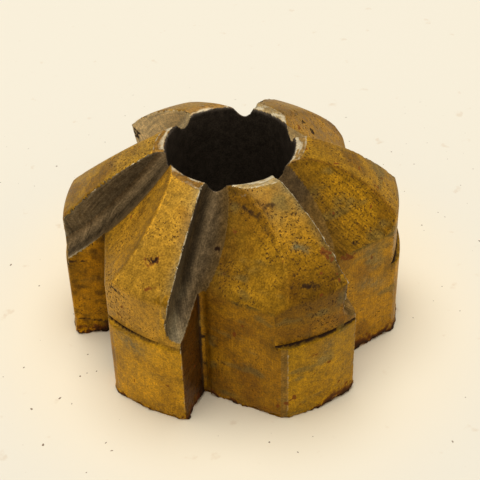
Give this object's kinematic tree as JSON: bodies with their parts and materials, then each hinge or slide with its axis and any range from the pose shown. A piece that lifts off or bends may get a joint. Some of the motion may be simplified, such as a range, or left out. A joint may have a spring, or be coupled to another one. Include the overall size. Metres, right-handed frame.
{
  "type": "face mill",
  "caption": "Solid shell-type face mill with a conical nose, straight gullets, ground rake gashes and a plain arbor bore. Gold-coated tool steel, worn.",
  "frame": {"origin": "centre of the bore on the flat back face", "axes": "+Z along the bore from the back face to the nose; X along the drive slot across the back face"},
  "size_m": [0.0672, 0.0698, 0.0435],
  "materials": {
    "coated_tool_steel": "worn gold nitride coating over machined steel, ground bare along the rake faces"
  },
  "bodies": {
    "root": {"cutter_body": "coated_tool_steel"}
  },
  "joints": []
}
